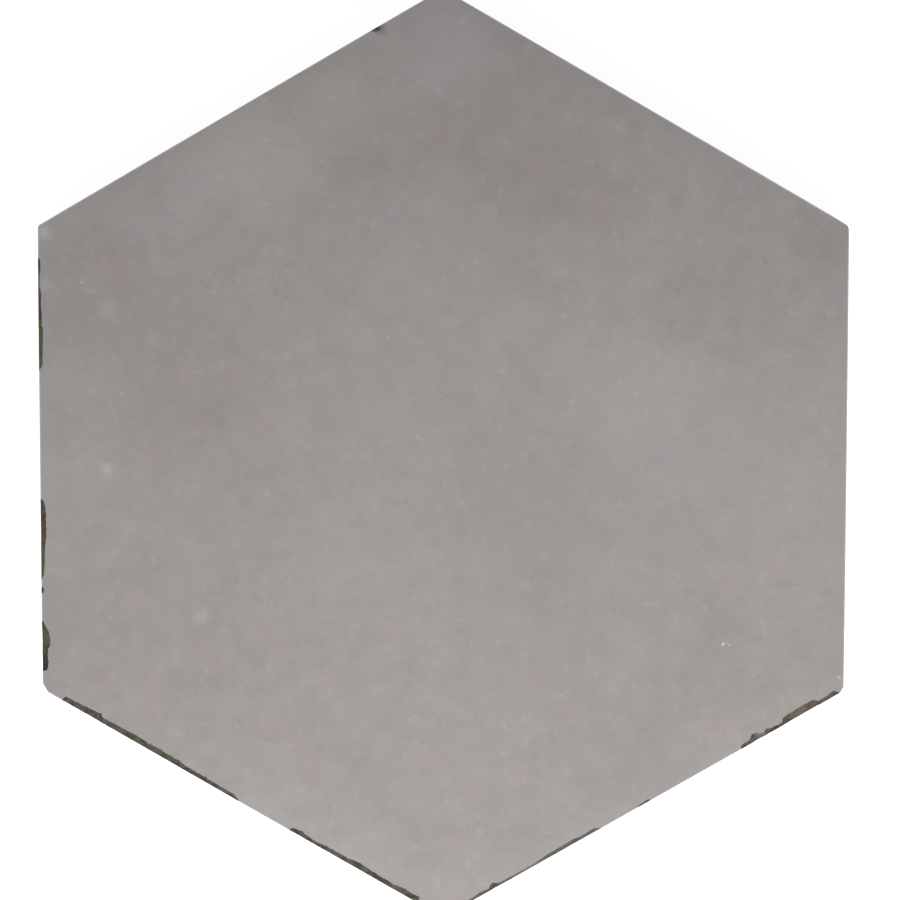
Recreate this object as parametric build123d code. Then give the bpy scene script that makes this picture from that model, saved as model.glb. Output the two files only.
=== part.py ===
from build123d import *
import os
from collections import namedtuple
from math import atan, cos, exp, pi, radians, sin, sqrt, tan

# A hexagonal wall tile, pressed from clay and fired in one piece.
# The glazed face is uneven and falls away a little at its edges, and its arris is chipped in places.
# The edges lean in towards the back, which carries a pressed honeycomb key for the adhesive.
#
# Origin at the centre of the back. +Z out of the glazed face, +Y towards a corner, +X towards a flat side.
# Millimetres and degrees.

# Section
ACROSS_FLATS = 108.0
THICKNESS = 9.0
EDGE_LAND = 3.0
EDGE_DRAFT = 2.0
ARRIS_RADIUS = 0.2
BACK_CHAMFER = 0.5

# Corners in plan, anticlockwise from the one on +Y: how much is nipped off along both sides, and the radius
Corner = namedtuple("Corner", "nip radius")
CORNERS = [
    Corner(nip=0.0, radius=0.9),
    Corner(nip=0.0, radius=0.5),
    Corner(nip=0.8, radius=0.6),
    Corner(nip=0.0, radius=0.9),
    Corner(nip=0.55, radius=0.6),
    Corner(nip=0.0, radius=1.1),
]

# Glazed face: how far it falls at the edge, over what width, and the long waves that run across it
EDGE_FALL = 0.35
FALL_WIDTH = 4.0
CORNER_BLEND = 12
Wave = namedtuple("Wave", "height length heading phase")
FACE_WAVES = [
    Wave(height=0.07, length=74.0, heading=25.0, phase=40.0),
    Wave(height=0.05, length=52.0, heading=105.0, phase=200.0),
    Wave(height=0.03, length=37.0, heading=160.0, phase=310.0),
]
FACE_GRID = 4.0
FACE_MARGIN = 6.0
FACE_HEADROOM = 1.0

# Honeycomb key in the back: rings of cells round the middle one, inside a plain rim
KEY_RINGS = 3
KEY_RIB = 2.5
KEY_DEPTH = 1.0
KEY_DRAFT = 30.0
KEY_RIM = 6.0

# Chips where the glaze has flaked off the arris, each on a named side.
# The points go anticlockwise along the side: distance from its first corner, and width across the face.
Chip = namedtuple("Chip", "side points")
CHIPS = [
    Chip("upper_left", [(9.6, 0), (9.9, 0.44), (10.4, 0.40), (11.1, 0)]),
    Chip("left", [(4.2, 0), (4.5, 0.27), (5.8, 0.29), (6.6, 0.20), (8.1, 0.20), (9.0, 0.37), (11.0, 0.33),
                  (11.5, 0.42), (13.2, 0.42), (13.7, 0.56), (15.9, 0.52), (18.6, 0.44), (19.4, 0)]),
    Chip("left", [(36.4, 0), (36.8, 0.36), (37.8, 0.66), (41.6, 0.70), (43.4, 0.48), (45.4, 0.44),
                  (46.8, 0.28), (47.5, 0)]),
    Chip("left", [(48.3, 0), (48.5, 0.28), (49.0, 0.30), (49.4, 0)]),
    Chip("left", [(52.8, 0), (54.6, 0.92), (55.6, 1.08), (56.5, 1.04), (56.75, 0.72), (59.1, 0.76),
                  (59.7, 0.60), (59.85, 0)]),
    Chip("lower_left", [(2.9, 0), (3.2, 0.68), (6.0, 0.82), (8.5, 1.08), (8.8, 0.70), (14.0, 0.87),
                        (16.0, 0.78), (18.0, 0.88), (18.4, 0.78), (20.8, 0.80), (21.8, 0.62), (29.6, 0.48),
                        (30.6, 0)]),
    Chip("lower_left", [(38.2, 0), (38.7, 0.52), (39.6, 0.62), (40.0, 0.81), (40.3, 0.58), (42.4, 0.39),
                        (43.6, 0.57), (47.2, 0.63), (48.8, 0.87), (51.0, 0.69), (54.4, 0.62), (55.6, 0.84),
                        (58.3, 0.80), (58.5, 0)]),
    Chip("lower_right", [(2.6, 0), (3.2, 0.27), (4.8, 0.30), (6.0, 0.46), (7.4, 0.30), (8.0, 0.70),
                         (8.5, 0.71), (9.1, 0.28), (14.4, 0.26), (16.8, 0.48), (21.2, 0.54), (21.8, 0.36),
                         (23.9, 0.49), (25.0, 0)]),
    Chip("lower_right", [(30.4, 0), (31.0, 0.20), (32.3, 0.26), (32.7, 0)]),
    Chip("lower_right", [(46.5, 0), (46.8, 0.46), (48.1, 0.52), (48.8, 1.06), (49.4, 0.88), (50.0, 0.49),
                         (50.4, 0.46), (50.7, 0.74), (51.5, 0.47), (53.1, 0.36), (53.4, 0.90), (56.0, 1.07),
                         (58.3, 0.98), (58.7, 0.50), (60.0, 0.50), (61.2, 0.71), (61.8, 0)]),
]

# Break of the chips: slope of its floor against the face, and the reach of the wedge that takes a chip off
FLAKE_ANGLE = 22.0
FLAKE_REACH = 3.0

# Plan geometry of the regular hexagon
SIDES = 6
TURN = 360.0 / SIDES
CORNER_REACH = ACROSS_FLATS / sqrt(3)
SIDE_NAMES = ["upper_left", "left", "lower_left", "lower_right", "right", "upper_right"]


def corner(index):
    """Sharp corner of the outline, anticlockwise from the one on +Y."""
    angle = radians(90 + TURN * index)
    return Vector(CORNER_REACH * cos(angle), CORNER_REACH * sin(angle))


def wave_height(wave, x, y):
    """Height that one long wave adds at a point of the plan."""
    heading = radians(wave.heading)
    travel = x * cos(heading) + y * sin(heading)
    return wave.height * sin(2 * pi * travel / wave.length + radians(wave.phase))


def face_height(x, y):
    """Height of the glazed face above the back at a point of the plan."""
    half = ACROSS_FLATS / 2
    normals = [radians(TURN * side) for side in range(SIDES // 2)]
    reaches = [abs(x * cos(normal) + y * sin(normal)) / half for normal in normals]
    reach = sum(share**CORNER_BLEND for share in reaches) ** (1 / CORNER_BLEND)
    inside = (1 - reach) * half
    fall = EDGE_FALL * 2 / (1 + exp(2 * inside / FALL_WIDTH))
    return THICKNESS - fall + sum(wave_height(wave, x, y) for wave in FACE_WAVES)


def outline(height, inset):
    """Hexagon with nipped and rounded corners, at a height and drawn in from the widest outline."""
    scale = 1 - 2 * inset / ACROSS_FLATS
    corners = [corner(index) * scale for index in range(SIDES)]
    plan = make_face(Polyline(*corners, close=True))
    for sharp, (nip, radius) in zip(corners, CORNERS):
        worn = plan.vertices().sort_by_distance(sharp)[:1]
        if nip:
            plan = chamfer(worn, nip)
            worn = plan.vertices().sort_by_distance(sharp)[:2]
        plan = fillet(worn, radius)
    return Pos(0, 0, height) * plan


def pressed_blank():
    """Body of the tile before its face is pressed: a bevelled back, drafted edges and an upright land."""
    land_foot = THICKNESS - EDGE_LAND
    draft = (land_foot - BACK_CHAMFER) * tan(radians(EDGE_DRAFT))
    crest = THICKNESS + sum(wave.height for wave in FACE_WAVES)
    sections = [(0, draft + BACK_CHAMFER), (BACK_CHAMFER, draft), (land_foot, 0), (crest + FACE_HEADROOM, 0)]
    return loft([outline(height, inset) for height, inset in sections], ruled=True)


def face_die():
    """Solid above the glazed face, with the uneven face as its underside."""
    reach = CORNER_REACH + FACE_MARGIN
    steps = round(2 * reach / FACE_GRID)
    ticks = [-reach + 2 * reach * k / steps for k in range(steps + 1)]
    points = [[Vector(x, y, face_height(x, y)) for y in ticks] for x in ticks]
    return extrude(Face.make_surface_from_array_of_points(points), THICKNESS, dir=(0, 0, 1))


def flake(chip):
    """Wedge that takes one chip off: its floor slopes down and out from the chip's outline on the face."""
    index = SIDE_NAMES.index(chip.side)
    first, last = corner(index), corner(index + 1)
    along = (last - first).normalized()
    outward = (first + last).normalized()
    lean = radians(FLAKE_ANGLE) + atan(EDGE_FALL / FALL_WIDTH)
    facing = outward * sin(lean) + Vector(0, 0, cos(lean))
    floor = []
    for distance, width in chip.points:
        arris = first + along * distance
        lift = face_height(arris.X, arris.Y) - THICKNESS
        floor.append((distance, lift * cos(lean) - width * sin(radians(FLAKE_ANGLE))))
    begin, end = chip.points[0][0], chip.points[-1][0]
    profile = make_face(Polyline((begin, FLAKE_REACH), *floor, (end, FLAKE_REACH), close=True))
    across = Plane(first + Vector(0, 0, THICKNESS), x_dir=along, z_dir=along.cross(facing))
    return extrude(across * profile, FLAKE_REACH, both=True)


def key():
    """Cells pressed into the back, in rings round the centre."""
    ring_rise = cos(radians(TURN / 2))
    room = ACROSS_FLATS / 2 - KEY_RIM - KEY_RINGS * KEY_RIB * ring_rise
    width = room / (KEY_RINGS * ring_rise + 1 / sqrt(3))
    cell = RegularPolygon(width / 2, SIDES, major_radius=False)
    pitch = width + KEY_RIB
    east = Vector(pitch, 0).rotate(Axis.Z, TURN / 2)
    north = Vector(0, pitch)
    span = range(-KEY_RINGS, KEY_RINGS + 1)
    centres = [east * i + north * j for i in span for j in span if abs(i + j) <= KEY_RINGS]
    return [extrude(Pos(c.X, c.Y) * cell, KEY_DEPTH, taper=KEY_DRAFT) for c in centres]


def tile():
    """The whole tile."""
    body = pressed_blank() - face_die()
    face = body.faces().sort_by(Axis.Z)[-1]
    body = fillet(face.edges(), ARRIS_RADIUS)
    body = body - [flake(chip) for chip in CHIPS]
    return body - key()


os.makedirs("parts", exist_ok=True)
export_step(tile(), "parts/hexagon_tile.step")
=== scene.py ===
from collections import namedtuple
from itertools import pairwise
from math import atan2, cos, exp, pi, radians, sin, sqrt, tan

import bmesh
import bpy
from mathutils import Euler, Matrix, Vector, noise


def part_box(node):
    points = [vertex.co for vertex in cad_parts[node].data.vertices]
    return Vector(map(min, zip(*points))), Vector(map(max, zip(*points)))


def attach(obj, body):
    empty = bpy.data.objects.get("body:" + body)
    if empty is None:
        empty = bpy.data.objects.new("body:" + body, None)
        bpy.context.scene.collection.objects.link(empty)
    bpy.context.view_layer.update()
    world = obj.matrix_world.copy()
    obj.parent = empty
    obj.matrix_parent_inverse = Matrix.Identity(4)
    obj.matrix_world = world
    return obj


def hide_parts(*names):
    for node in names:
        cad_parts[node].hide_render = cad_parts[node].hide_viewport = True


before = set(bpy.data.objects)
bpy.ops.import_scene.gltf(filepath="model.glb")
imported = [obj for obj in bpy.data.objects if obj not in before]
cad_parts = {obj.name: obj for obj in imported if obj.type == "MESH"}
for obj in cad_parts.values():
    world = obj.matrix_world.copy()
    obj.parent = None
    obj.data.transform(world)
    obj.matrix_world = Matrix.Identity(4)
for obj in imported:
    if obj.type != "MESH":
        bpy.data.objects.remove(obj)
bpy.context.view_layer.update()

# A hexagonal wall tile: grey satin glaze on a brown clay body, fired in one piece
# and chipped along its arris, the edge between the glazed face and the sides.
# Sizes are in millimetres and degrees, and the finished mesh is handed over in metres.
# The face is at the top, +Y points to a corner and +X to a flat side.
MM = 0.001
NODE = "hexagon_tile"

# Section of the tile
lowest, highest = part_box(NODE)
ACROSS_FLATS = (highest.x - lowest.x) / MM
THICKNESS = 9.0
EDGE_LAND = 3.0
EDGE_DRAFT = 2.0
ARRIS_RADIUS = 0.2
BACK_CHAMFER = 0.5

# Corners in plan, anticlockwise from the one on +Y: how much is nipped off along both sides, and the radius
Corner = namedtuple("Corner", "nip radius")
CORNERS = [
    Corner(nip=0.0, radius=0.9),
    Corner(nip=0.0, radius=0.5),
    Corner(nip=0.8, radius=0.6),
    Corner(nip=0.0, radius=0.9),
    Corner(nip=0.55, radius=0.6),
    Corner(nip=0.0, radius=1.1),
]

# Plan of the regular hexagon
SIDES = 6
TURN = 360 / SIDES
HALF = ACROSS_FLATS / 2
CORNER_REACH = ACROSS_FLATS / sqrt(3)
SIDE_NAMES = ["upper_left", "left", "lower_left", "lower_right", "right", "upper_right"]

# Glazed face: its fall at the edge and the long waves that run across it
EDGE_FALL = 0.35
FALL_WIDTH = 4.0
CORNER_BLEND = 12
Wave = namedtuple("Wave", "height length heading phase")
FACE_WAVES = [
    Wave(height=0.07, length=74.0, heading=25.0, phase=40.0),
    Wave(height=0.05, length=52.0, heading=105.0, phase=200.0),
    Wave(height=0.03, length=37.0, heading=160.0, phase=310.0),
]

# Ripples that the glaze froze in, finer than the long waves
RIPPLE_LENGTH = 7.0
RIPPLE_HEIGHT = 0.012

# Honeycomb key in the back: rings of cells round the middle one, inside a plain rim, with softened edges
KEY_RINGS = 3
KEY_RIB = 2.5
KEY_DEPTH = 1.0
KEY_DRAFT = 30.0
KEY_RIM = 6.0
KEY_SOFTENING = 0.25
KEY_SEGMENTS = 2

# Chips along the arris, each on a named side, where the glaze has flaked off the clay.
# The points go anticlockwise along the side: distance from its first corner, and width across the face.
Chip = namedtuple("Chip", "side points")
CHIPS = [
    Chip("upper_left", [(9.6, 0), (9.9, 0.44), (10.4, 0.40), (11.1, 0)]),
    Chip("left", [(4.2, 0), (4.5, 0.27), (5.8, 0.29), (6.6, 0.20), (8.1, 0.20), (9.0, 0.37), (11.0, 0.33),
                  (11.5, 0.42), (13.2, 0.42), (13.7, 0.56), (15.9, 0.52), (18.6, 0.44), (19.4, 0)]),
    Chip("left", [(36.4, 0), (36.8, 0.36), (37.8, 0.66), (41.6, 0.70), (43.4, 0.48), (45.4, 0.44),
                  (46.8, 0.28), (47.5, 0)]),
    Chip("left", [(48.3, 0), (48.5, 0.28), (49.0, 0.30), (49.4, 0)]),
    Chip("left", [(52.8, 0), (54.6, 0.92), (55.6, 1.08), (56.5, 1.04), (56.75, 0.72), (59.1, 0.76),
                  (59.7, 0.60), (59.85, 0)]),
    Chip("lower_left", [(2.9, 0), (3.2, 0.68), (6.0, 0.82), (8.5, 1.08), (8.8, 0.70), (14.0, 0.87),
                        (16.0, 0.78), (18.0, 0.88), (18.4, 0.78), (20.8, 0.80), (21.8, 0.62), (29.6, 0.48),
                        (30.6, 0)]),
    Chip("lower_left", [(38.2, 0), (38.7, 0.52), (39.6, 0.62), (40.0, 0.81), (40.3, 0.58), (42.4, 0.39),
                        (43.6, 0.57), (47.2, 0.63), (48.8, 0.87), (51.0, 0.69), (54.4, 0.62), (55.6, 0.84),
                        (58.3, 0.80), (58.5, 0)]),
    Chip("lower_right", [(2.6, 0), (3.2, 0.27), (4.8, 0.30), (6.0, 0.46), (7.4, 0.30), (8.0, 0.70),
                         (8.5, 0.71), (9.1, 0.28), (14.4, 0.26), (16.8, 0.48), (21.2, 0.54), (21.8, 0.36),
                         (23.9, 0.49), (25.0, 0)]),
    Chip("lower_right", [(30.4, 0), (31.0, 0.20), (32.3, 0.26), (32.7, 0)]),
    Chip("lower_right", [(46.5, 0), (46.8, 0.46), (48.1, 0.52), (48.8, 1.06), (49.4, 0.88), (50.0, 0.49),
                         (50.4, 0.46), (50.7, 0.74), (51.5, 0.47), (53.1, 0.36), (53.4, 0.90), (56.0, 1.07),
                         (58.3, 0.98), (58.7, 0.50), (60.0, 0.50), (61.2, 0.71), (61.8, 0)]),
]

# Break of the chips: slope of its floor, how ragged its outline is, how rough the broken clay,
# and the distance from the arris past which no chip is looked for
FLAKE_ANGLE = 22.0
RAGGED_SHARE = 0.10
RAGGED_LENGTH = 0.6
BREAK_ROUGHNESS = 0.03
BREAK_GRAIN = 0.35
FLAKE_LIMIT = 1.5

# Mesh: short edges along the arris, longer ones away from it
ARRIS_CUTS = 311
CORNER_SEGMENTS = 8
ARRIS_SEGMENTS = 4
EDGE_RING_DEPTHS = [1.5, 1.2, 0.95, 0.75, 0.6, 0.5, 0.42, 0.34, 0.27]
FACE_RING_INSETS = [0.26, 0.33, 0.41, 0.5, 0.6, 0.7, 0.8, 0.9, 1.0, 1.1, 1.25, 1.45, 1.75, 2.2]
FOOT_STEP = 0.15
FINE_TO_COARSE = 4
COARSE_STEP = 1.1
SHARP_ANGLE = 38.0

# Numbers that the mesh holds for its finish:
# how far inside a chip a point lies, and how far in from the outline
FLAKE_ATTRIBUTE = "flake"
INSET_ATTRIBUTE = "inset"

# Tones, as they look under plain white light, from 0 to 255
GLAZE_DARK = (147, 141, 138)
GLAZE_PALE = (159, 152, 150)
GLAZE_PINK = (158, 147, 147)
GLAZE_GREEN = (148, 150, 145)
GLAZE_BLUE = (151, 148, 156)
GLAZE_OLIVE = (155, 149, 139)
# Cool tint of painted shade, for the band where the face falls away on the upper part
PAINTED_COOL_SHADE = (148, 149, 153)
# Paler rim on the arris: partly thin glaze, partly a painted highlight
THIN_GLAZE_AND_HIGHLIGHT_RIM = (178, 176, 175)
# Painted highlight on the crest of the upper arris
PAINTED_CREST_HIGHLIGHT = (218, 216, 214)
CLOUD_PALE = (170, 165, 160)
CLOUD_COOL = (164, 162, 165)
CLOUD_BROWN = (138, 129, 126)
CLOUD_DARK = (138, 134, 132)
FLECK_PALE = (186, 184, 181)
# Painted glints, near white
PAINTED_GLINT = (232, 231, 229)
FLECK_GRIMY = (88, 86, 84)
CLAY_BROWN = (128, 113, 94)
CLAY_DARK = (108, 95, 78)
CLAY_KHAKI = (126, 118, 92)
CLAY_RUST = (122, 97, 78)
CLAY_GRAIN = (84, 74, 62)
BREAK_BROWN = (86, 82, 73)
# Darkest broken clay: partly grime, partly painted shade
BREAK_GRIME_AND_SHADE = (58, 56, 51)
KILN_WASH = (171, 164, 153)

# What the looks are made of.
# A layer is a cloudy pattern: its strength, the size of its patches, how many finer patterns it has in it,
# and a shift and stretch that set it apart from the others.
# A fade goes smoothly from none of a tone to its share, between two values of a pattern or a distance.
# A patch is a tone that fades in with its layers.
# A tint has one tone where its layers are high and another where they are low.
# A drift pushes positions about by its reach, in patches of its size.
Layer = namedtuple("Layer", "strength size detail shift stretch", defaults=[(0, 0, 0), (1, 1, 1)])
Fade = namedtuple("Fade", "none full share", defaults=[1.0])
Patch = namedtuple("Patch", "layers fade tone")
Tint = namedtuple("Tint", "layers share high low")
Drift = namedtuple("Drift", "reach size")

# Mottling of the glaze, from dark to pale and in tints to both sides
GREY_MEAN = 0.5
GREY_LAYERS = [
    Layer(0.14, 9.0, 1, (40, 0, 0)),
    Layer(0.5, 2.6, 3, (0, 60, 0)),
    Layer(0.22, 0.6, 1, (0, 0, 25)),
]
TINT_REACH = 0.7
TINTS = [
    Tint([Layer(1, 3.2, 3, (0, 0, 35)), Layer(0.4, 0.5, 1, (45, 0, 0))], 0.45, GLAZE_PINK, GLAZE_GREEN),
    Tint([Layer(1, 3.0, 3, (0, 0, 70)), Layer(0.4, 0.5, 1, (0, 45, 0))], 0.24, GLAZE_BLUE, GLAZE_OLIVE),
]

# Glaze near the outline, by the distance in: cooler in a band, which is painted shade, and paler on the
# arris, partly where the glaze is thin and partly as a painted highlight.
# The cool band and the crest of the arris, a painted highlight, are on the upper part alone, away from the
# lamp.
UPPER_PART = Fade(-45, -5)
COOL_SHADE_BAND = Fade(2.2, 0.3, 0.4)
PALE_RIM = Fade(0.25, 0.05, 0.4)
CREST_HIGHLIGHT_FADE = Fade(0.24, 0.04, 0.9)

# Soft clouds, mostly in the glaze: middle, radius, tone and how much of it
Cloud = namedtuple("Cloud", "x y radius tone share")
CLOUD_DRIFT = Drift(5, 7)
CLOUDS = [
    # The first darkens the whole upper end towards its corner: painted shade. The next three are broad, and
    # make the middle and the left and right corners paler.
    Cloud(0.0, 66.0, 66, CLOUD_DARK, 0.34),
    Cloud(6.0, -4.0, 52, CLOUD_PALE, 0.20),
    Cloud(-54.0, -2.0, 26, CLOUD_PALE, 0.26),
    Cloud(54.0, -2.0, 28, CLOUD_PALE, 0.32),
    Cloud(12.0, -55.5, 15, CLOUD_DARK, 0.36),
    Cloud(29.0, -45.5, 14, CLOUD_DARK, 0.34),
    Cloud(-6.0, -59.0, 13, CLOUD_DARK, 0.20),
    Cloud(-25.5, 41.0, 14, CLOUD_PALE, 0.42),
    Cloud(-33.0, 36.0, 9, CLOUD_COOL, 0.30),
    Cloud(-14.0, 48.5, 9, CLOUD_PALE, 0.30),
    Cloud(-0.5, 53.0, 13, CLOUD_COOL, 0.34),
    Cloud(-9.0, 40.0, 9, CLOUD_BROWN, 0.22),
    Cloud(3.7, 42.5, 12, CLOUD_BROWN, 0.42),
    Cloud(16.5, 36.5, 12, CLOUD_BROWN, 0.42),
    Cloud(50.0, 29.0, 8, CLOUD_BROWN, 0.28),
    Cloud(-43.0, 22.0, 14, CLOUD_BROWN, 0.26),
    Cloud(-39.0, 12.0, 15, CLOUD_DARK, 0.28),
    Cloud(-32.0, 7.0, 12, CLOUD_BROWN, 0.20),
    Cloud(30.5, 5.0, 17, CLOUD_COOL, 0.30),
    Cloud(24.0, 9.0, 14, CLOUD_PALE, 0.24),
    Cloud(8.5, 17.0, 7, CLOUD_PALE, 0.24),
    Cloud(-3.5, 27.0, 11, CLOUD_COOL, 0.20),
    Cloud(37.0, 22.0, 11, CLOUD_DARK, 0.26),
    Cloud(10.5, -8.0, 17, CLOUD_DARK, 0.28),
    Cloud(4.0, 3.0, 10, CLOUD_DARK, 0.22),
    Cloud(15.0, -23.0, 15, CLOUD_DARK, 0.24),
    Cloud(20.0, -39.0, 12, CLOUD_DARK, 0.18),
    Cloud(-15.0, -13.5, 13, CLOUD_PALE, 0.20),
    Cloud(-32.5, -14.0, 9, CLOUD_PALE, 0.14),
    Cloud(-35.0, -8.5, 5, GLAZE_OLIVE, 0.35),
    Cloud(-23.0, -46.5, 8, CLOUD_COOL, 0.26),
    Cloud(-10.0, -53.5, 9, CLOUD_COOL, 0.28),
    Cloud(34.5, -27.0, 13, CLOUD_DARK, 0.22),
]

# Specks strewn over the whole glaze: spacing, radius, tone, how much of it, and a shift of the pattern.
# Some are fainter than others.
Speck = namedtuple("Speck", "spacing radius tone share shift")
SPECK_DRIFT = Drift(0.5, 0.8)
SPECK_FAINTNESS = Fade(0.2, 1.0)
SPECKS = [
    Speck(2.9, 0.75, FLECK_PALE, 0.13, (3, 8, 0)),
    Speck(3.9, 0.42, FLECK_PALE, 0.24, (11, 0, 0)),
    Speck(2.5, 0.34, BREAK_BROWN, 0.13, (17, 5, 0)),
]

# Single flecks in the glaze, and white painted glints
FLECK_DRIFT = Drift(0.3, 0.6)
FLECKS = [
    Cloud(-44.9, -1.3, 1.4, FLECK_PALE, 0.42),
    Cloud(-45.8, -0.5, 0.8, FLECK_PALE, 0.2),
    Cloud(-32.4, -21.2, 1.6, FLECK_PALE, 0.3),
    Cloud(20.6, -28.7, 0.7, FLECK_PALE, 0.2),
    Cloud(3.4, -54.7, 0.9, FLECK_PALE, 0.2),
    Cloud(5.2, -50.3, 0.8, FLECK_PALE, 0.16),
    Cloud(-44.6, 20.0, 2.5, FLECK_PALE, 0.22),
    Cloud(-38.4, 27.0, 1.6, FLECK_PALE, 0.14),
    Cloud(-38.6, 16.0, 1.6, FLECK_PALE, 0.16),
    Cloud(-52.7, 23.3, 1.7, FLECK_PALE, 0.2),
    Cloud(-53.2, 30.3, 1.9, FLECK_PALE, 0.5),
    Cloud(-8.3, 57.1, 1.2, FLECK_GRIMY, 0.75),
    Cloud(37.6, -24.8, 0.42, PAINTED_GLINT, 0.9),
    Cloud(38.3, -24.8, 0.28, PAINTED_GLINT, 0.6),
    Cloud(53.6, -29.4, 0.52, PAINTED_GLINT, 1.0),
    Cloud(53.6, -30.1, 0.46, PAINTED_GLINT, 1.0),
    Cloud(34.9, -15.1, 0.25, PAINTED_GLINT, 0.5),
    Cloud(41.2, 36.2, 0.3, PAINTED_GLINT, 0.5),
    Cloud(-48.1, 23.6, 0.25, PAINTED_GLINT, 0.36),
]

# Fired clay, with dust from the kiln near the back
CLAY_PATCHES = [
    Patch([Layer(1, 1.4, 4, (70, 0, 0))], Fade(-0.6, 0.6), CLAY_BROWN),
    Patch([Layer(1, 9.0, 2, (0, 20, 0))], Fade(0.0, 0.7, 0.4), CLAY_KHAKI),
    Patch([Layer(1, 11.0, 2, (0, 0, 10))], Fade(0.1, 0.7, 0.4), CLAY_RUST),
    Patch([Layer(1, 0.5, 1, (25, 0, 0))], Fade(0.35, 0.6, 0.5), CLAY_GRAIN),
]
DUST_LAYERS = [Layer(1, 6.0, 5, (30, 30, 0))]
DUST_FADE = Fade(-0.7, 0.5)
DUST_HEIGHT = Fade(0.9, 0.1, 0.7)

# Broken clay in the chips, dark partly from grime and partly from painted shade, and stains on it in single
# chips
BREAK_PATCHES = [Patch([Layer(1, 0.9, 4, (0, 70, 0))], Fade(-0.5, 0.5), BREAK_BROWN)]
STAIN_DRIFT = Drift(0.6, 0.8)
STAINS = [
    Cloud(-9.3, 57.0, 1.5, (92, 90, 88), 0.8),
    Cloud(-53.6, 23.8, 2.0, (118, 116, 113), 0.8),
    Cloud(-53.6, 20.5, 3.0, (68, 68, 61), 0.7),
    Cloud(-53.6, 16.5, 3.5, (86, 85, 62), 0.8),
    Cloud(-53.6, 13.0, 1.6, (96, 98, 84), 0.6),
    Cloud(-53.6, -9.0, 2.2, (92, 62, 50), 0.9),
    Cloud(-53.6, -14.8, 2.6, (96, 94, 72), 0.7),
    Cloud(-53.0, -24.0, 2.2, (94, 89, 64), 0.9),
    Cloud(-53.6, -27.9, 1.6, (44, 42, 38), 0.9),
    Cloud(-44.0, -36.2, 2.2, (92, 78, 78), 0.6),
    Cloud(-39.0, -39.3, 2.4, (88, 84, 62), 0.6),
    Cloud(-14.0, -53.0, 3.0, (92, 88, 76), 0.4),
    Cloud(4.3, -59.9, 4.0, (102, 99, 94), 0.6),
    Cloud(11.7, -55.6, 6.0, (110, 107, 102), 0.8),
    Cloud(16.9, -52.6, 4.5, (98, 95, 90), 0.7),
    Cloud(20.8, -50.3, 2.5, (104, 102, 95), 0.7),
    Cloud(42.6, -36.9, 1.3, (124, 120, 98), 0.9),
    Cloud(48.4, -33.8, 2.4, (106, 94, 80), 0.8),
    Cloud(52.0, -32.2, 2.2, (98, 92, 84), 0.7),
]

# Where the clay is bare: in the chips and a little round them, and below a wavy line on the edges
CHIP_BORDER = Fade(-0.13, -0.05)
CHIP_BORDER_LAYERS = [Layer(0.06, 0.3, 1)]
GLAZE_LINE = Fade(6.6, 6.1)
GLAZE_LINE_LAYERS = [Layer(0.8, 5.0, 1, stretch=(1, 1, 0.4)), Layer(0.32, 1.2, 1)]

# Shine and relief of glaze and clay
SHEEN = 0.3
GLAZE_ROUGHNESS = 0.58
GLAZE_ROUGHNESS_LAYERS = [Layer(0.05, 3.0, 1, (15, 0, 0))]
GLAZE_RELIEF = [Layer(0.006, 1.8, 2), Layer(0.0012, 0.4, 1)]
CLAY_ROUGHNESS = 0.9
CLAY_RELIEF = [Layer(0.03, 0.4, 3)]

# Camera, from the photograph's framing
CAMERA_LENS = 96.0
CAMERA_TILT = (-4.10, 0.67, 0.075)
CAMERA_AIM = Vector((0.99, 1.30, 8.4))
CAMERA_DISTANCE = 321.2

# Light: an even pale room, a soft lamp beyond the lower corner, so that the lower end is lighter,
# and a low wide light from the other side, which keeps the upper arrises from going dark
ROOM_STRENGTH = 0.22
LAMP_PLACE = Vector((40, -330, 335))
LAMP_SIZE = 260
LAMP_POWER = 2.28
FILL_RISE = 16
FILL_TURN = 18
FILL_SPREAD = 60
FILL_STRENGTH = 0.9

# Floor: its reach from the middle, its gap below the tile, its tone, and the glow that makes it look white
FLOOR_REACH = 3000
FLOOR_GAP = 0.2
FLOOR_TONE = (235, 235, 235)
FLOOR_GLOW = 0.77


def corner(index):
    """Sharp corner of the outline, anticlockwise from the one on +Y."""
    angle = radians(90 + TURN * index)
    return Vector((CORNER_REACH * cos(angle), CORNER_REACH * sin(angle), 0))


def wave_height(wave, x, y):
    """Height that one long wave adds at a point of the plan."""
    heading = radians(wave.heading)
    travel = x * cos(heading) + y * sin(heading)
    return wave.height * sin(2 * pi * travel / wave.length + radians(wave.phase))


def face_lift(x, y):
    """How far the glazed face stands above its mean level at a point of the plan."""
    normals = [radians(TURN * side) for side in range(SIDES // 2)]
    reaches = [abs(x * cos(normal) + y * sin(normal)) / HALF for normal in normals]
    reach = sum(share**CORNER_BLEND for share in reaches) ** (1 / CORNER_BLEND)
    inside = (1 - reach) * HALF
    fall = EDGE_FALL * 2 / (1 + exp(2 * inside / FALL_WIDTH))
    ripple = RIPPLE_HEIGHT * (noise.noise(Vector((x, y, 0)) / RIPPLE_LENGTH) - 1)
    return sum(wave_height(wave, x, y) for wave in FACE_WAVES) + ripple - fall


def round_corners(bm, points, turn, radius):
    """Rounds points of the outline to a radius, where the outline turns by so many degrees."""
    bmesh.ops.bevel(bm, geom=points, offset=radius * tan(radians(turn / 2)), offset_type="OFFSET",
                    affect="VERTICES", segments=CORNER_SEGMENTS, profile=0.5, material=-1)


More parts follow.
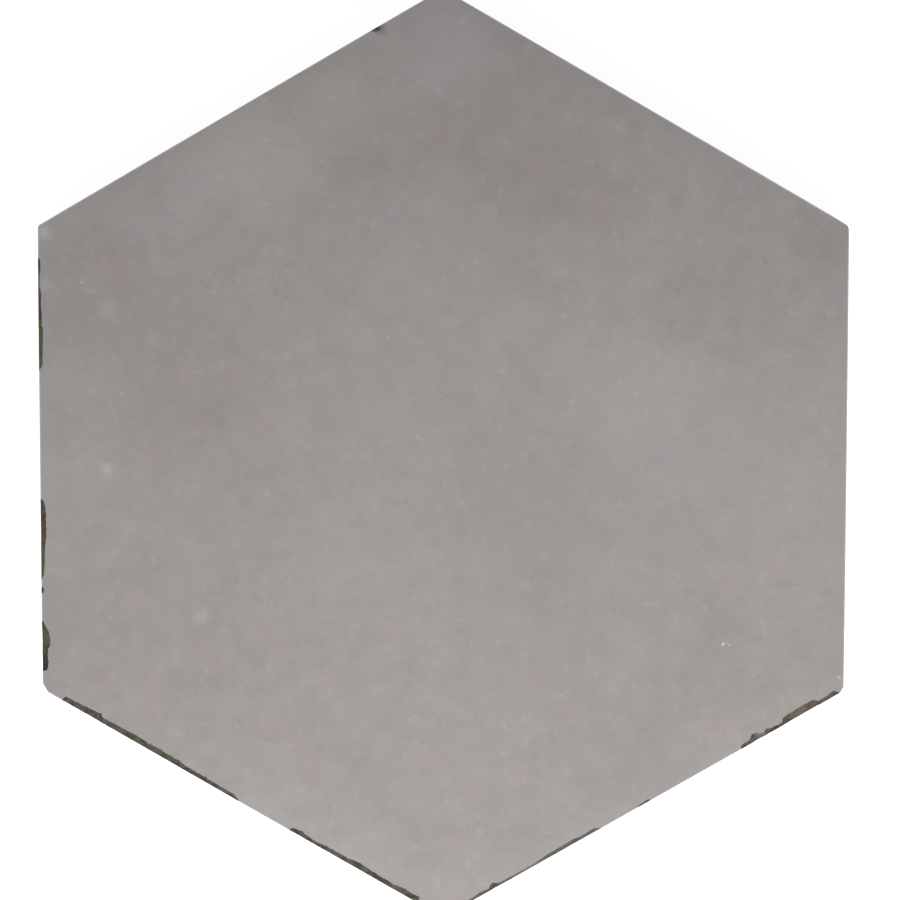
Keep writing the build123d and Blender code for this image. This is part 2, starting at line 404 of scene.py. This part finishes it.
def start_outline(bm):
    """Hexagon with nipped and rounded corners and short edges, as a bare rim."""
    bmesh.ops.create_circle(bm, cap_ends=True, segments=SIDES, radius=CORNER_REACH)
    for index, (nip, radius) in enumerate(CORNERS):
        sharp = min(bm.verts, key=lambda point: (point.co - corner(index)).length)
        if not nip:
            round_corners(bm, [sharp], TURN, radius)
            continue
        nipped = bmesh.ops.bevel(bm, geom=[sharp], offset=nip, offset_type="OFFSET", affect="VERTICES",
                                 segments=1, profile=0.5, material=-1)
        round_corners(bm, nipped["verts"], TURN / 2, radius)
    straight = [edge for edge in bm.edges if edge.calc_length() > HALF]
    bmesh.ops.subdivide_edges(bm, edges=straight, cuts=ARRIS_CUTS)
    bmesh.ops.delete(bm, geom=bm.faces[:], context="FACES_ONLY")
    return bm.edges[:]


def next_ring(bm, rim, scale, rise):
    """Extrudes a rim to the next ring of the section and returns the new rim."""
    grown = bmesh.ops.extrude_edge_only(bm, edges=rim)["geom"]
    points = [part for part in grown if isinstance(part, bmesh.types.BMVert)]
    fresh = set(points)
    bmesh.ops.scale(bm, vec=(scale, scale, 1), verts=points)
    bmesh.ops.translate(bm, vec=(0, 0, rise), verts=points)
    edges = [part for part in grown if isinstance(part, bmesh.types.BMEdge)]
    return [edge for edge in edges if fresh.issuperset(edge.verts)]


def thin_rim(bm, rim, keep):
    """Keeps one point in so many of a rim, so that the rings after it are coarser."""
    points = {point for edge in rim for point in edge.verts}
    ordered = sorted(points, key=lambda point: atan2(point.co.y, point.co.x))
    spare = [point for place, point in enumerate(ordered) if place % keep]
    kept = {point for place, point in enumerate(ordered) if place % keep == 0}
    bmesh.ops.dissolve_verts(bm, verts=spare)
    return [edge for edge in bm.edges if edge.is_boundary and kept.issuperset(edge.verts)]


def follow_section(bm, rim, start, section):
    """Carries a rim along a section of (inset, height) points and returns its last rim."""
    inset, height = start
    for next_inset, next_height in section:
        rim = next_ring(bm, rim, (HALF - next_inset) / (HALF - inset), next_height - height)
        inset, height = next_inset, next_height
    return rim


def arris_section():
    """Section from the foot of the fine band on the edge, over the arris, to the band's end on the face."""
    edge = [(0, THICKNESS - depth) for depth in EDGE_RING_DEPTHS[1:]]
    angles = [radians(90 * step / ARRIS_SEGMENTS) for step in range(ARRIS_SEGMENTS + 1)]
    arris = [(ARRIS_RADIUS * (1 - cos(a)), THICKNESS - ARRIS_RADIUS * (1 - sin(a))) for a in angles]
    face = [(inset, THICKNESS) for inset in FACE_RING_INSETS]
    return edge + arris + face


def close_face(bm, rim, inset):
    """Coarser rings from the end of the fine band to the middle of the face, closed there."""
    count = len(rim)
    while HALF - inset > 2 * COARSE_STEP:
        spacing = 2 * sqrt(3) * (HALF - inset) / count
        if spacing < COARSE_STEP / 2:
            rim = thin_rim(bm, rim, 2)
            count = len(rim)
        after = inset + COARSE_STEP
        rim = next_ring(bm, rim, (HALF - after) / (HALF - inset), 0)
        inset = after
    bmesh.ops.edgeloop_fill(bm, edges=rim)


def edge_section():
    """Section from the foot of the fine band down the upright land and the drafted edge to the back."""
    foot = THICKNESS - EDGE_LAND
    draft = (foot - BACK_CHAMFER) * tan(radians(EDGE_DRAFT))
    land = [(0, (THICKNESS - EDGE_RING_DEPTHS[0] + foot) / 2), (0, foot)]
    drafted = [(draft / 2, (foot + BACK_CHAMFER) / 2), (draft, BACK_CHAMFER)]
    return land + drafted + [(draft + BACK_CHAMFER, 0)]


def key_cells(bm, pitch):
    """Flat honeycomb of hexagons that share their sides, in rings round the middle one."""
    north = Vector((0, pitch, 0))
    east = Matrix.Rotation(radians(-TURN), 4, "Z") @ north
    span = range(-KEY_RINGS, KEY_RINGS + 1)
    places = [east * i + north * j for i in span for j in span if abs(i + j) <= KEY_RINGS]
    sideways = Matrix.Rotation(radians(TURN / 2), 4, "Z")
    points = []
    for place in places:
        made = bmesh.ops.create_circle(bm, cap_ends=True, segments=SIDES, radius=pitch / sqrt(3),
                                       matrix=Matrix.Translation(place) @ sideways)
        points += made["verts"]
    bmesh.ops.remove_doubles(bm, verts=points, dist=KEY_SOFTENING)
    return list({face for point in points if point.is_valid for face in point.link_faces})


def key_sheet(bm):
    """Honeycomb of drafted cells in the back, open at its outer rim."""
    ring_rise = cos(radians(TURN / 2))
    room = HALF - KEY_RIM - KEY_RINGS * KEY_RIB * ring_rise
    width = room / (KEY_RINGS * ring_rise + 1 / sqrt(3))
    lean = KEY_DEPTH * tan(radians(KEY_DRAFT))
    cells = key_cells(bm, width + KEY_RIB)
    bmesh.ops.inset_individual(bm, faces=cells, thickness=KEY_RIB / 2, depth=0, use_even_offset=True)
    mouths = [edge for cell in cells for edge in cell.edges]
    walls = bmesh.ops.inset_individual(bm, faces=cells, thickness=lean, depth=0, use_even_offset=True)
    floor_points = list({point for cell in cells for point in cell.verts})
    bmesh.ops.translate(bm, vec=(0, 0, KEY_DEPTH), verts=floor_points)
    floors = [edge for cell in cells for edge in cell.edges]
    slants = [edge for wall in walls["faces"] for edge in wall.edges]
    bmesh.ops.bevel(bm, geom=list(set(mouths + floors + slants)), offset=KEY_SOFTENING, offset_type="OFFSET",
                    affect="EDGES", segments=KEY_SEGMENTS, profile=0.5, material=-1)


def chip_width(chip, along):
    """Width of a chip at a place along its side, ragged as a break is, or none past its ends."""
    for (start, first), (end, last) in pairwise(chip.points):
        if start <= along <= end:
            even = first + (last - first) * (along - start) / (end - start)
            seed = SIDE_NAMES.index(chip.side) * ACROSS_FLATS
            return even * (1 + RAGGED_SHARE * noise.noise(Vector((along + seed, 0, 0)) / RAGGED_LENGTH))
    return 0


def widest_chip(place, chips_by_side):
    """How far inside the widest chip there a point near the arris lies, and that side's outward direction."""
    widest, facing = -FLAKE_LIMIT, None
    for index, name in enumerate(SIDE_NAMES):
        first, last = corner(index), corner(index + 1)
        outward = (first + last).normalized()
        inset = HALF - place.dot(outward)
        if inset > FLAKE_LIMIT:
            continue
        along = (place - first).dot((last - first).normalized())
        width = max((chip_width(chip, along) for chip in chips_by_side[name]), default=0)
        if width and width - inset > widest:
            widest, facing = width - inset, outward
    return widest, facing


def break_arris(bm):
    """Flakes the chips off the arris and notes at each point how far inside a chip it lies."""
    layer = bm.verts.layers.float.new(FLAKE_ATTRIBUTE)
    chips_by_side = {name: [chip for chip in CHIPS if chip.side == name] for name in SIDE_NAMES}
    slope = radians(FLAKE_ANGLE)
    for point in bm.verts:
        point[layer] = -FLAKE_LIMIT
        below = THICKNESS - point.co.z
        if below > EDGE_RING_DEPTHS[0]:
            continue
        reach, facing = widest_chip(point.co, chips_by_side)
        point[layer] = reach - below
        depth = reach * sin(slope) - below * cos(slope)
        if depth > 0:
            grain = BREAK_ROUGHNESS * noise.noise(point.co / BREAK_GRAIN)
            inward = -facing * sin(slope) - Vector((0, 0, cos(slope)))
            point.co += inward * max(depth + grain, 0)


def note_insets(bm):
    """Notes at each point how far in from the outline it lies."""
    layer = bm.verts.layers.float.new(INSET_ATTRIBUTE)
    outwards = [(corner(index) + corner(index + 1)).normalized() for index in range(SIDES)]
    for point in bm.verts:
        point[layer] = HALF - max(point.co.dot(outward) for outward in outwards)


def press_face(bm):
    """Lifts the face and the top of the land to the uneven glazed face."""
    foot = THICKNESS - EDGE_LAND
    top = THICKNESS - EDGE_RING_DEPTHS[0]
    for point in bm.verts:
        share = min(max((point.co.z - foot) / (top - foot), 0), 1)
        if share:
            point.co.z += share * face_lift(point.co.x, point.co.y)


def tile_mesh():
    """The whole tile as one closed mesh, in metres."""
    bm = bmesh.new()
    outline = start_outline(bm)
    start = THICKNESS - EDGE_RING_DEPTHS[0]
    bmesh.ops.translate(bm, vec=(0, 0, start), verts=bm.verts[:])
    face_rim = follow_section(bm, outline, (0, start), arris_section())
    face_rim = thin_rim(bm, face_rim, FINE_TO_COARSE)
    close_face(bm, face_rim, FACE_RING_INSETS[-1])
    foot_rim = thin_rim(bm, next_ring(bm, outline, 1, -FOOT_STEP), FINE_TO_COARSE)
    follow_section(bm, foot_rim, (0, start - FOOT_STEP), edge_section())
    key_sheet(bm)
    bmesh.ops.triangle_fill(bm, use_beauty=True, edges=[edge for edge in bm.edges if edge.is_boundary])
    bmesh.ops.recalc_face_normals(bm, faces=bm.faces[:])
    note_insets(bm)
    break_arris(bm)
    press_face(bm)
    for face in bm.faces:
        face.smooth = True
    bmesh.ops.scale(bm, vec=(MM, MM, MM), verts=bm.verts[:])
    mesh = bpy.data.meshes.new("glazed_tile")
    bm.to_mesh(mesh)
    bm.free()
    mesh.set_sharp_from_angle(angle=radians(SHARP_ANGLE))
    return mesh


def linear(tone):
    """Linear colour of a tone that is given as it looks on screen, by the usual display curve."""
    shares = [channel / 255 for channel in tone]
    return [share / 12.92 if share <= 0.04045 else ((share + 0.055) / 1.055) ** 2.4 for share in shares] + [1]


class Value:
    """A number that changes over a surface. Arithmetic on it adds Math nodes."""

    def __init__(self, finish, socket):
        self.finish = finish
        self.socket = socket

    def __add__(self, other):
        return self.finish.math("ADD", self, other)

    def __mul__(self, other):
        return self.finish.math("MULTIPLY", self, other)

    __radd__ = __add__
    __rmul__ = __mul__


class Finish:
    """The nodes of one material, with positions in millimetres."""

    def __init__(self, name):
        self.material = bpy.data.materials.new(name)
        self.material.use_nodes = True
        self.tree = self.material.node_tree
        self.tree.nodes.clear()
        place = self.node("ShaderNodeTexCoord", {}, {}).outputs["Object"]
        scaled = self.node("ShaderNodeVectorMath", {"operation": "SCALE"}, {"Vector": place, "Scale": 1 / MM})
        self.place = scaled.outputs["Vector"]

    def node(self, kind, settings, sockets):
        """Adds a node: first its settings, then a number, a colour or a link for each socket."""
        made = self.tree.nodes.new(kind)
        for name, setting in settings.items():
            setattr(made, name, setting)
        for key, given in sockets.items():
            link = given.socket if isinstance(given, Value) else given
            if isinstance(link, bpy.types.NodeSocket):
                self.tree.links.new(link, made.inputs[key])
            else:
                made.inputs[key].default_value = link
        return made

    def math(self, operation, *terms):
        """One Math node on numbers and values."""
        made = self.node("ShaderNodeMath", {"operation": operation}, dict(enumerate(terms)))
        return Value(self, made.outputs["Value"])

    def attribute(self, name):
        """A number that the mesh holds at each point."""
        return Value(self, self.node("ShaderNodeAttribute", {"attribute_name": name}, {}).outputs["Fac"])

    def along(self, axis):
        """Distance along an axis, such as the height above the back."""
        return Value(self, self.node("ShaderNodeSeparateXYZ", {}, {"Vector": self.place}).outputs[axis])

    def layer(self, layer):
        """One cloudy layer, about from minus to plus its strength."""
        sockets = {"Vector": self.place, "Location": layer.shift, "Scale": layer.stretch}
        moved = self.node("ShaderNodeMapping", {}, sockets).outputs["Vector"]
        sockets = {"Vector": moved, "Scale": 1 / layer.size, "Detail": layer.detail}
        made = self.node("ShaderNodeTexNoise", {"normalize": False}, sockets)
        return layer.strength * Value(self, made.outputs["Fac"])

    def pattern(self, layers):
        """Cloudy pattern, the sum of its layers."""
        first, *others = [self.layer(layer) for layer in layers]
        return sum(others, first)

    def drift(self, drift):
        """Position pushed about by a drift."""
        sockets = {"Vector": self.place, "Scale": 1 / drift.size}
        push = self.node("ShaderNodeTexNoise", {"normalize": False}, sockets).outputs["Color"]
        sockets = {0: push, 1: [drift.reach] * 3, 2: self.place}
        return self.node("ShaderNodeVectorMath", {"operation": "MULTIPLY_ADD"}, sockets).outputs["Vector"]

    def fade(self, value, fade):
        """How much of a fade there is at a value, as a smooth step."""
        sockets = {"Value": value, "From Min": fade.none, "From Max": fade.full, "To Max": fade.share}
        made = self.node("ShaderNodeMapRange", {"interpolation_type": "SMOOTHSTEP"}, sockets)
        return Value(self, made.outputs["Result"])

    def mix(self, share, first, second):
        """Colour between two, each a tone or a mixed colour."""
        first, second = [linear(c) if isinstance(c, tuple) else c for c in (first, second)]
        made = self.node("ShaderNodeMix", {"data_type": "RGBA"}, {0: share, 6: first, 7: second})
        return made.outputs[2]

    def patch(self, patches, colour):
        """Colour with patches of other tones in it."""
        for patch in patches:
            colour = self.mix(self.fade(self.pattern(patch.layers), patch.fade), colour, patch.tone)
        return colour

    def tint(self, tint, colour):
        """Colour with a tint to both sides of it."""
        pattern = self.pattern(tint.layers)
        colour = self.mix(self.fade(pattern, Fade(0, TINT_REACH, tint.share)), colour, tint.high)
        return self.mix(self.fade(pattern, Fade(0, -TINT_REACH, tint.share)), colour, tint.low)

    def lay(self, clouds, height, place, colour):
        """Colour with soft clouds laid over it, each strongest at its middle and gone at its radius."""
        for cloud in clouds:
            sockets = {0: place, 1: (cloud.x, cloud.y, height)}
            gap = self.node("ShaderNodeVectorMath", {"operation": "DISTANCE"}, sockets).outputs["Value"]
            colour = self.mix(self.fade(gap, Fade(cloud.radius, 0, cloud.share)), colour, cloud.tone)
        return colour

    def strew(self, speck, place, colour):
        """Colour with specks strewn over it, at most one in each square of their spacing."""
        sockets = {"Vector": place, "Location": speck.shift}
        moved = self.node("ShaderNodeMapping", {}, sockets).outputs["Vector"]
        sockets = {"Vector": moved, "Scale": 1 / speck.spacing}
        made = self.node("ShaderNodeTexVoronoi", {"voronoi_dimensions": "2D"}, sockets)
        own = self.node("ShaderNodeSeparateColor", {}, {"Color": made.outputs["Color"]}).outputs["Red"]
        spot = self.fade(made.outputs["Distance"], Fade(speck.radius / speck.spacing, 0, speck.share))
        return self.mix(spot * self.fade(own, SPECK_FAINTNESS), colour, speck.tone)

    def bump(self, height):
        """Normal of a relief whose height is in millimetres."""
        sockets = {"Height": height, "Distance": MM, "Strength": 1}
        return self.node("ShaderNodeBump", {}, sockets).outputs["Normal"]

    def shader(self, colour, roughness, relief):
        """Surface of one stuff, with the layers of its relief in millimetres."""
        sockets = {
            "Base Color": colour,
            "Roughness": roughness,
            "Specular IOR Level": SHEEN,
            "Normal": self.bump(self.pattern(relief)),
        }
        return self.node("ShaderNodeBsdfPrincipled", {}, sockets).outputs["BSDF"]

    def surface(self, shader):
        """Gives the material its shader."""
        self.node("ShaderNodeOutputMaterial", {}, {"Surface": shader})
        return self.material


def glaze_colour(finish, inset):
    """Warm grey glaze, mottled in soft patches of slightly different greys, with clouds and flecks; with
    painted shade in a cool band and a broad cloud on the upper part, a paler rim that is partly a painted
    highlight, a painted highlight on the upper crest, and white painted glints.
    """
    grey = finish.mix(GREY_MEAN + finish.pattern(GREY_LAYERS), GLAZE_DARK, GLAZE_PALE)
    for tint in TINTS:
        grey = finish.tint(tint, grey)
    upper = finish.fade(finish.along("Y"), UPPER_PART)
    # Painted shade: a cool tint in a band along the upper outline
    grey = finish.mix(finish.fade(inset, COOL_SHADE_BAND) * upper, grey, PAINTED_COOL_SHADE)
    # Paler rim on the arris, partly thin glaze and partly a painted highlight
    grey = finish.mix(finish.fade(inset, PALE_RIM), grey, THIN_GLAZE_AND_HIGHLIGHT_RIM)
    # Painted highlight on the crest of the arris, on the upper part
    grey = finish.mix(finish.fade(inset, CREST_HIGHLIGHT_FADE) * upper, grey, PAINTED_CREST_HIGHLIGHT)
    # The first cloud is painted shade over the upper end
    grey = finish.lay(CLOUDS, THICKNESS, finish.drift(CLOUD_DRIFT), grey)
    ragged = finish.drift(SPECK_DRIFT)
    for speck in SPECKS:
        grey = finish.strew(speck, ragged, grey)
    # The near white flecks are painted glints
    return finish.lay(FLECKS, THICKNESS - EDGE_FALL / 2, finish.drift(FLECK_DRIFT), grey)


def clay_colour(finish, height):
    """Fired clay: an even brown with faint khaki and rusty patches and dark grains, dusty near the back."""
    brown = finish.patch(CLAY_PATCHES, CLAY_DARK)
    dust = finish.fade(finish.pattern(DUST_LAYERS), DUST_FADE) * finish.fade(height, DUST_HEIGHT)
    return finish.mix(dust, brown, KILN_WASH)


def break_colour(finish):
    """Broken clay in the chips: dark greyish brown, partly from grime and partly from painted shade, with
    stains of its own in single chips.
    """
    brown = finish.patch(BREAK_PATCHES, BREAK_GRIME_AND_SHADE)
    return finish.lay(STAINS, THICKNESS - EDGE_FALL, finish.drift(STAIN_DRIFT), brown)


def glaze_shader(finish):
    """Satin glaze with a fine orange peel."""
    colour = glaze_colour(finish, finish.attribute(INSET_ATTRIBUTE))
    roughness = GLAZE_ROUGHNESS + finish.pattern(GLAZE_ROUGHNESS_LAYERS)
    return finish.shader(colour, roughness, GLAZE_RELIEF)


def clay_shader(finish, chipped, height):
    """Bare clay: broken in the chips, fired elsewhere."""
    colour = finish.mix(chipped, clay_colour(finish, height), break_colour(finish))
    return finish.shader(colour, CLAY_ROUGHNESS, CLAY_RELIEF)


def tile_finish():
    """Glaze over the face and the top of the edges, bare clay in the chips, lower down and on the back."""
    finish = Finish("satin_glaze")
    height = finish.along("Z")
    flake = finish.attribute(FLAKE_ATTRIBUTE)
    chipped = finish.fade(flake + finish.pattern(CHIP_BORDER_LAYERS), CHIP_BORDER)
    unglazed = finish.fade(height + finish.pattern(GLAZE_LINE_LAYERS), GLAZE_LINE)
    bare = finish.math("MAXIMUM", chipped, unglazed)
    shaders = {0: bare, 1: glaze_shader(finish), 2: clay_shader(finish, chipped, height)}
    return finish.surface(finish.node("ShaderNodeMixShader", {}, shaders).outputs["Shader"])


def add_object(name, data):
    """Puts a mesh, lamp or camera in the scene."""
    made = bpy.data.objects.new(name, data)
    bpy.context.scene.collection.objects.link(made)
    return made


def lay_tile():
    """The glazed tile, which stands for the plain solid."""
    tile = add_object("glazed_tile", tile_mesh())
    tile.data.materials.append(tile_finish())
    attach(tile, "root")
    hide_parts(NODE)


def set_camera():
    """Looks down on the tile, a little from its upper end."""
    camera = add_object("camera", bpy.data.cameras.new("camera"))
    camera.data.lens = CAMERA_LENS
    camera.rotation_mode = "ZYX"
    camera.rotation_euler = [radians(angle) for angle in CAMERA_TILT]
    backwards = Euler(camera.rotation_euler, "ZYX").to_matrix() @ Vector((0, 0, 1))
    camera.location = (CAMERA_AIM + backwards * CAMERA_DISTANCE) * MM
    bpy.context.scene.camera = camera


def set_light():
    """An even room, a soft lamp and a low fill light."""
    world = bpy.data.worlds.new("room")
    bpy.context.scene.world = world
    world.use_nodes = True
    background = world.node_tree.nodes["Background"]
    background.inputs["Color"].default_value = (1, 1, 1, 1)
    background.inputs["Strength"].default_value = ROOM_STRENGTH
    lamp = add_object("lamp", bpy.data.lights.new("lamp", "AREA"))
    lamp.data.shape = "DISK"
    lamp.data.size = LAMP_SIZE * MM
    lamp.data.energy = LAMP_POWER
    lamp.location = LAMP_PLACE * MM
    lamp.rotation_euler = LAMP_PLACE.to_track_quat("Z", "Y").to_euler()
    fill = add_object("fill", bpy.data.lights.new("fill", "SUN"))
    fill.data.angle = radians(FILL_SPREAD)
    fill.data.energy = FILL_STRENGTH
    fill.rotation_euler = (radians(FILL_RISE - 90), 0, radians(FILL_TURN))


def floor_finish():
    """Pale floor that looks white and keeps the tile's shadow."""
    finish = Finish("pale_floor")
    rays = finish.node("ShaderNodeLightPath", {}, {}).outputs
    seen = finish.math("MAXIMUM", rays["Is Camera Ray"], rays["Is Glossy Ray"])
    seen = finish.math("MAXIMUM", seen, rays["Is Transmission Ray"])
    matt = finish.node("ShaderNodeBsdfDiffuse", {}, {"Color": linear(FLOOR_TONE)})
    glow = finish.node("ShaderNodeEmission", {}, {"Strength": FLOOR_GLOW * seen})
    both = finish.node("ShaderNodeAddShader", {}, {0: matt.outputs["BSDF"], 1: glow.outputs["Emission"]})
    return finish.surface(both.outputs["Shader"])


def lay_floor():
    """Level floor just under the tile."""
    bm = bmesh.new()
    bmesh.ops.create_grid(bm, x_segments=1, y_segments=1, size=FLOOR_REACH * MM)
    bmesh.ops.translate(bm, vec=(0, 0, -FLOOR_GAP * MM), verts=bm.verts[:])
    mesh = bpy.data.meshes.new("floor")
    bm.to_mesh(mesh)
    bm.free()
    floor = add_object("floor", mesh)
    floor.data.materials.append(floor_finish())


lay_tile()
set_camera()
set_light()
lay_floor()
bpy.context.scene.view_settings.view_transform = "Standard"
